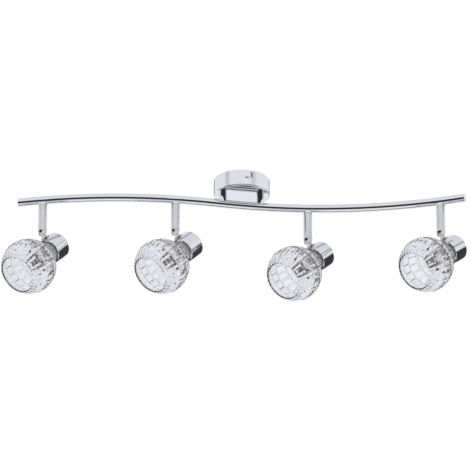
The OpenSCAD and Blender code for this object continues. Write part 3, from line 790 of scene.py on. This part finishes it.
class SPOTBAR_OT_lamps(bpy.types.Operator):
    """Capsule lamps: a hollow quartz envelope with a pinched foot, two pins and a coiled filament"""

    bl_idname = "spotbar.lamps"
    bl_label = "Capsule lamps"

    # from the holder's face up to the round envelope, and down to the end of the pinch
    ABOVE_HOLDER = 0.004
    BELOW_HOLDER = 0.0055

    def execute(self, context):
        values = context.scene.spot_lamp
        bulb_r = max(abs(BULB_HIGH.z - AXIS_Z), abs(BULB_LOW.z - AXIS_Z))
        tip = BULB_HIGH.x
        collar = HOLDER_HIGH.x + self.ABOVE_HOLDER
        self.envelope(values, bulb_r, collar, tip)
        self.pins()
        self.filament(values, bulb_r, collar, tip)
        return {"FINISHED"}

    def envelope(self, values, bulb_r, collar, tip):
        """Quartz tube with a round end, an exhaust tip and a flat pinch at the foot."""
        round_steps = 7
        tip_height = 0.0012
        tip_step = 0.0008
        tip_r = 0.0011
        foot_bevel = 0.0025
        foot_share = 0.82
        inner_foot = (0.7, 0.0022)
        inner_floor = 0.0018
        inner_wall_end = 0.004
        shoulder = tip - tip_height - bulb_r
        outline = [(0.0, collar), (bulb_r * foot_share, collar), (bulb_r, collar + foot_bevel)]
        for step in range(round_steps):
            angle = math.radians(90 * step / round_steps)
            outline.append((bulb_r * math.cos(angle), shoulder + bulb_r * math.sin(angle)))
        outline += [(tip_r, tip - tip_step), (0.0, tip)]
        inner = bulb_r - values.quartz_wall
        outline.append((0.0, shoulder + inner))
        for step in range(1, round_steps + 1):
            angle = math.radians(90 - 90 * step / round_steps)
            outline.append((inner * math.cos(angle), shoulder + inner * math.sin(angle)))
        outline.append((inner, collar + inner_wall_end))
        outline.append((inner * inner_foot[0], collar + inner_foot[1]))
        outline.append((0.0, collar + inner_floor))
        bulb = profile_solid("capsule_glass", outline, 32)
        foot = HOLDER_HIGH.x - self.BELOW_HOLDER
        foot_plane = collar + 0.0004
        low_faces = pick(
            bulb, "faces", lambda f: f.normal.z < -0.9 and f.calc_center_median().z < foot_plane
        )
        if low_faces == 0:
            raise RuntimeError("the capsule's foot has no face to draw out")
        throat = 0.002
        pinch_thick = 0.002
        pinch_wide = 1.12
        bpy.ops.mesh.extrude_region_move(TRANSFORM_OT_translate={"value": (0, 0, -throat)})
        squeeze = pinch_thick / (2 * bulb_r * foot_share)
        bpy.ops.transform.resize(value=(squeeze, pinch_wide, 1.0))
        bpy.ops.mesh.extrude_region_move(
            TRANSFORM_OT_translate={"value": (0, 0, foot - (collar - throat))}
        )
        bpy.ops.object.mode_set(mode="OBJECT")
        hold(bulb)
        bpy.ops.object.shade_smooth_by_angle(angle=math.radians(40))
        quartz = clear_glass(
            "quartz", values.tint, rough=0.02, wave_scale=300.0, wave_height=0.0001, ior=1.46
        )
        bulb.data.materials.append(quartz)
        copy_to_lamps(bulb, "capsule_glass", ["lamp_capsule"])

    def pins(self):
        """The two contact pins under the pinch, with rounded ends and a thin lead into the glass."""
        clear_selection()
        pin_r = 0.00055
        length = 0.006
        half_pitch = 0.0045
        into_pinch = 0.003
        foot = HOLDER_HIGH.x - self.BELOW_HOLDER
        bpy.ops.mesh.primitive_cylinder_add(
            vertices=16, radius=pin_r, depth=length, location=(0, half_pitch, foot - length / 2)
        )
        pin = bpy.context.object
        bpy.ops.object.transform_apply(location=True, rotation=True, scale=True)
        bpy.ops.object.mode_set(mode="EDIT")
        pick(pin, "faces", lambda f: f.normal.z < -0.9)
        bpy.ops.mesh.inset(thickness=0.0002, depth=0.0003)
        pick(pin, "faces", lambda f: f.normal.z > 0.9)
        bpy.ops.mesh.inset(thickness=0.00015, depth=0.0)
        bpy.ops.mesh.extrude_region_move(TRANSFORM_OT_translate={"value": (0, 0, into_pinch)})
        bpy.ops.mesh.select_all(action="SELECT")
        bpy.ops.mesh.duplicate_move(TRANSFORM_OT_translate={"value": (0, -2 * half_pitch, 0)})
        bpy.ops.object.mode_set(mode="OBJECT")
        hold(pin)
        bpy.ops.object.shade_smooth_by_angle(angle=math.radians(35))
        wire = metal("nickel wire", (0.66, 0.64, 0.6), smooth=0.15, dull=0.35, clouds=500.0, marks=3000.0)
        pin.data.materials.append(wire)
        copy_to_lamps(pin, "capsule_pins")

    def filament(self, values, bulb_r, collar, tip):
        """Two coiled legs that meet at the top, on two lead wires, inside the envelope."""
        top = tip - 0.009
        low = collar + 0.006
        lead_end = collar + 0.0015
        side = bulb_r * 0.38
        lean = 0.35
        wire = single_point("filament", (values.coil_r, 0, 0))
        bpy.ops.object.mode_set(mode="OBJECT")
        coil = wire.modifiers.new("coil", "SCREW")
        coil.axis = "Z"
        coil.angle = 2 * math.pi * values.coil_turns
        coil.screw_offset = top - low
        coil.steps = coil.render_steps = values.coil_turns * 10
        apply_modifiers(wire)
        settle(wire, Matrix.Rotation(math.atan(side * lean / (top - low)), 4, "X"))
        settle(wire, Matrix.Translation((0, side, low)))
        bpy.ops.object.mode_set(mode="EDIT")
        pick(wire, "verts", lambda v: v.co.z < low + values.wire_r and len(v.link_edges) == 1)
        bpy.ops.mesh.extrude_vertices_move(TRANSFORM_OT_translate={"value": (0, 0, lead_end - low)})
        bpy.ops.mesh.select_all(action="SELECT")
        bpy.ops.mesh.duplicate()
        bpy.ops.transform.mirror(constraint_axis=(False, True, False), center_override=(0, 0, 0))
        ends = pick(wire, "verts", lambda v: v.co.z > (low + top) / 2 and len(v.link_edges) == 1)
        if ends != 2:
            raise RuntimeError("the filament's legs have no two upper ends to join")
        bpy.ops.mesh.edge_face_add()
        bpy.ops.object.mode_set(mode="OBJECT")
        hold(wire)
        bpy.ops.object.convert(target="CURVE")
        wire = bpy.context.object
        path = wire.data
        path.bevel_depth = values.wire_r
        path.bevel_resolution = 1
        path.use_fill_caps = True
        hold(wire)
        bpy.ops.object.convert(target="MESH")
        wire = bpy.context.object
        bpy.ops.object.shade_smooth()
        tungsten = metal("tungsten", (0.36, 0.34, 0.32), smooth=0.3, dull=0.5, clouds=900.0, marks=4000.0)
        wire.data.materials.append(tungsten)
        copy_to_lamps(wire, "capsule_filament")


class SPOTBAR_OT_studio(bpy.types.Operator):
    """Pale floor, white surroundings, soft lights and the camera"""

    bl_idname = "spotbar.studio"
    bl_label = "Studio"

    def execute(self, context):
        values = context.scene.spot_studio
        self.floor(values)
        self.surroundings(context.scene)
        self.lights()
        self.camera(context.scene, values)
        context.scene.view_settings.view_transform = "Standard"
        context.scene.view_settings.look = "None"
        return {"FINISHED"}

    def floor(self, values):
        """One large plain floor far below the ceiling."""
        clear_selection()
        below = (0, 0, -values.floor_drop)
        bpy.ops.mesh.primitive_circle_add(vertices=96, radius=11, fill_type="NGON", location=below)
        floor = bpy.context.object
        floor.name = floor.data.name = "studio_floor"
        paint = moulded("floor paint", (0.86, 0.86, 0.87), (0.84, 0.84, 0.85), 0.8, 0.9, scale=3.0)
        floor.data.materials.append(paint)
        floor.visible_glossy = False

    def surroundings(self, scene):
        """White to the camera, a pale room with dark screens in mirrors, and grey through glass."""
        world = bpy.data.worlds.new("studio")
        scene.world = world
        world.use_nodes = True
        tree = world.node_tree
        tree.nodes.clear()
        place = tree.nodes.new("ShaderNodeTexCoord")
        parts = tree.nodes.new("ShaderNodeSeparateXYZ")
        tree.links.new(place.outputs["Generated"], parts.inputs[0])
        rise = maths(tree, "ARCSINE", parts.outputs["Z"], 0.0)
        forward = maths(tree, "MULTIPLY", parts.outputs["Y"], -1.0)
        turn = maths(tree, "ARCTAN2", parts.outputs["X"], forward)
        height = maths(tree, "MULTIPLY_ADD", parts.outputs["Z"], 0.5)
        room_walls = colour_ramp(tree, height, self.ROOM)
        shade = 1.0
        for screen in self.SCREENS:
            shade = maths(tree, "MULTIPLY", shade, self.screen(tree, turn, rise, *screen))
        mirror = mix_colour(tree, shade, rgba((0.02, 0.02, 0.022)), room_walls)
        through = self.through_glass(tree, place, parts)
        path = tree.nodes.new("ShaderNodeLightPath")
        inside = maths(tree, "GREATER_THAN", path.outputs["Transmission Depth"], 0.5)
        room = mix_colour(tree, inside, mirror, through)
        seen = mix_colour(tree, path.outputs["Is Camera Ray"], room, (1, 1, 1, 1))
        shine = tree.nodes.new("ShaderNodeBackground")
        tree.links.new(seen, shine.inputs["Color"])
        sink = tree.nodes.new("ShaderNodeOutputWorld")
        tree.links.new(shine.outputs[0], sink.inputs["Surface"])

    def through_glass(self, tree, place, parts):
        """Grey straight behind the glass, paler to the sides and dark in front, with soft folds."""
        up = bpy.context.scene.spot_studio.look_up
        ahead = maths(tree, "MULTIPLY", parts.outputs["Y"], math.cos(up))
        ahead = maths(tree, "ADD", ahead, maths(tree, "MULTIPLY", parts.outputs["Z"], math.sin(up)))
        folds = tree.nodes.new("ShaderNodeTexNoise")
        folds.inputs["Scale"].default_value = 9.0
        folds.inputs["Detail"].default_value = 1.0
        tree.links.new(place.outputs["Generated"], folds.inputs["Vector"])
        pale = colour_ramp(tree, maths(tree, "MULTIPLY_ADD", ahead, 0.5), self.BEHIND_GLASS)
        fold = spread(tree, folds.outputs["Fac"], 0.0, 1.0, start=0.36, stop=0.64)
        dimmer = mix_colour(tree, 1.0, pale, rgba((0.76, 0.76, 0.79)), "MULTIPLY")
        brighter = mix_colour(tree, 1.0, pale, rgba((1.12, 1.12, 1.1)), "MULTIPLY")
        return mix_colour(tree, fold, dimmer, brighter)

    # colours of the room from the floor (0) to overhead (1)
    ROOM = (
        (0.0, (0.95, 0.95, 0.97)),
        (0.45, (0.98, 0.98, 1.029)),
        (0.53, (0.94, 0.94, 0.987)),
        (0.7, (0.92, 0.92, 0.966)),
        (1.0, (0.8, 0.8, 0.87)),
    )

    # colours seen through glass from towards the viewer (0) to straight behind (1)
    BEHIND_GLASS = (
        (0.12, (0.7, 0.7, 0.74)),
        (0.3, (0.86, 0.86, 0.9116)),
        (0.5, (0.96, 0.96, 1.0)),
        (0.8, (0.96, 0.96, 1.0)),
        (1.0, (0.82, 0.82, 0.88)),
    )

    # dark screens: turn from the front to the right, half width, rise, half height,
    # softness (angles in degrees) and darkness
    SCREENS = (
        (0, 75, -23, 27, 2, 0.98),
        (180, 80, -62, 14, 4, 0.75),
        (128, 40, 0, 9, 3, 0.97),
        (-128, 40, 0, 5, 3, 0.7),
        (180, 25, 24, 9, 4, 0.9),
        (50, 10, 26, 14, 9, 0.22),
        (-62, 9, 26, 14, 8, 0.28),
        (100, 28, 36, 5, 4, 0.55),
    )

    def screen(self, tree, turn, rise, centre, width, height, depth, soft, dark):
        """Light left by one dark screen: 1 away from it, 1 - dark on it."""
        side = maths(tree, "SUBTRACT", turn, math.radians(centre))
        side = maths(tree, "ABSOLUTE", maths(tree, "WRAP", side, math.pi), 0.0)
        up = maths(tree, "ABSOLUTE", maths(tree, "SUBTRACT", rise, math.radians(height)), 0.0)
        masks = []
        for offset, half in ((side, width), (up, depth)):
            start = math.radians(half + soft)
            stop = math.radians(half - soft)
            masks.append(spread(tree, offset, 0.0, 1.0, start, stop, smooth=True))
        hidden = maths(tree, "MULTIPLY", maths(tree, "MULTIPLY", masks[0], masks[1]), dark)
        return maths(tree, "SUBTRACT", 1.0, hidden)

    def lights(self):
        """Three soft boxes round the bar."""
        boxes = (
            ("key_box", (-2.2, -2.6, 0.6), 1.6, 45.0),
            ("fill_box", (2.6, -1.8, -0.9), 1.4, 25.0),
            ("top_box", (0.3, 1.4, 2.4), 1.8, 30.0),
        )
        for name, place, size, power in boxes:
            clear_selection()
            bpy.ops.object.light_add(type="AREA", location=place)
            light = bpy.context.object
            light.name = light.data.name = name
            light.data.shape = "RECTANGLE"
            light.data.size, light.data.size_y = size, size * 0.7
            light.data.energy = power
            aim = Vector((0, 0, -0.1)) - Vector(place)
            light.rotation_euler = aim.to_track_quat("-Z", "Y").to_euler()
            light.visible_camera = False
            light.visible_glossy = light.visible_transmission = False

    def camera(self, scene, values):
        """A long lens from the front, looking up."""
        clear_selection()
        up = values.look_up
        ahead = Vector((0, math.cos(up), math.sin(up)))
        raised = Vector((0, -math.sin(up), math.cos(up)))
        place = Vector((values.slide, 0, 0)) - ahead * values.distance - raised * values.sink
        bpy.ops.object.camera_add(location=place)
        camera = bpy.context.object
        camera.rotation_euler = ahead.to_track_quat("-Z", "Y").to_euler()
        camera.data.lens = values.lens
        camera.data.sensor_width = 36.0
        camera.data.clip_start, camera.data.clip_end = 0.1, 200.0
        scene.camera = camera


OPERATORS = (
    SPOTBAR_OT_chrome,
    SPOTBAR_OT_fasteners,
    SPOTBAR_OT_insulation,
    SPOTBAR_OT_shades,
    SPOTBAR_OT_lamps,
    SPOTBAR_OT_studio,
)


class SPOTBAR_PT_panel(bpy.types.Panel):
    """Lists the spot bar's steps and sizes"""

    bl_idname = "SPOTBAR_PT_panel"
    bl_label = "Spot Bar"
    bl_space_type = "VIEW_3D"
    bl_region_type = "UI"
    bl_category = "Spot Bar"

    def draw(self, context):
        for operator in OPERATORS:
            self.layout.operator(operator.bl_idname)
        for name, group in GROUPS.items():
            box = self.layout.box()
            for key in group.__annotations__:
                box.prop(getattr(context.scene, name), key)


def register():
    for group in GROUPS.values():
        bpy.utils.register_class(group)
    for name, group in GROUPS.items():
        setattr(bpy.types.Scene, name, bpy.props.PointerProperty(type=group))
    for operator in OPERATORS:
        bpy.utils.register_class(operator)
    bpy.utils.register_class(SPOTBAR_PT_panel)


def unregister():
    bpy.utils.unregister_class(SPOTBAR_PT_panel)
    for operator in reversed(OPERATORS):
        bpy.utils.unregister_class(operator)
    for name in GROUPS:
        delattr(bpy.types.Scene, name)
    for group in reversed(list(GROUPS.values())):
        bpy.utils.unregister_class(group)


def main():
    register()
    for operator in OPERATORS:
        group, name = operator.bl_idname.split(".")
        getattr(getattr(bpy.ops, group), name)()
    clear_selection()


if __name__ == "__main__":
    main()
